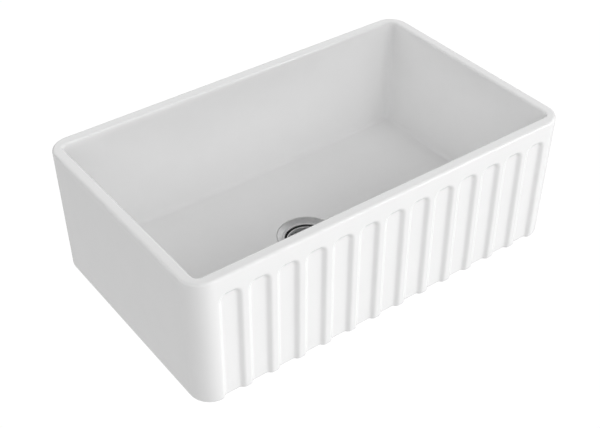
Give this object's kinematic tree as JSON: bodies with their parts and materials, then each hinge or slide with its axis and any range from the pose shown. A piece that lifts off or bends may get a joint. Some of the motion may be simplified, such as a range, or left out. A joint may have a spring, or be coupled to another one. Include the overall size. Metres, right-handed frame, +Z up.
{
  "type": "farmhouse apron front sink",
  "caption": "White glazed fireclay kitchen sink with a single deep rectangular bowl, a fluted apron front and a steel basket strainer waste.",
  "frame": {"origin": "on the base plane, under the middle of the basin", "axes": "+X to the right along the apron, -Y out of the fluted apron, +Z up through the rim"},
  "size_m": [0.7598, 0.455, 0.342],
  "materials": {
    "glazed_fireclay": "gloss white glaze",
    "white_foam": "matt closed-cell foam",
    "polished_steel": "polished stainless steel sheet",
    "turned_steel": "fine turned stainless steel",
    "spring_steel": "spring steel wire",
    "black_rubber": "matt black moulded rubber",
    "moulded_polypropylene": "satin moulded polypropylene",
    "brass": "turned brass"
  },
  "bodies": {
    "root": {"basin": "glazed_fireclay", "flange_gasket": "white_foam", "strainer_flange": "polished_steel", "sink_gasket": "black_rubber", "waste_body": "moulded_polypropylene", "screw_insert": "brass", "fixing_screw": "turned_steel", "screw_washer": "black_rubber"},
    "basket": {"basket_cup": "polished_steel", "rim_seal": "black_rubber"},
    "stem": {"stem": "turned_steel", "stem_ring": "spring_steel", "stem_washer": "turned_steel", "stem_nut": "turned_steel", "knob": "polished_steel"}
  },
  "joints": [
    {"name": "basket_lift", "type": "slide", "parent": "root", "child": "basket", "axis": [0, 0, 1], "range_m": [0, 0.09]},
    {"name": "stem_turn", "type": "hinge", "parent": "basket", "child": "stem", "pos_m": [0, 0.0045, 0], "axis": [0, 0, 1], "continuous": true}
  ]
}
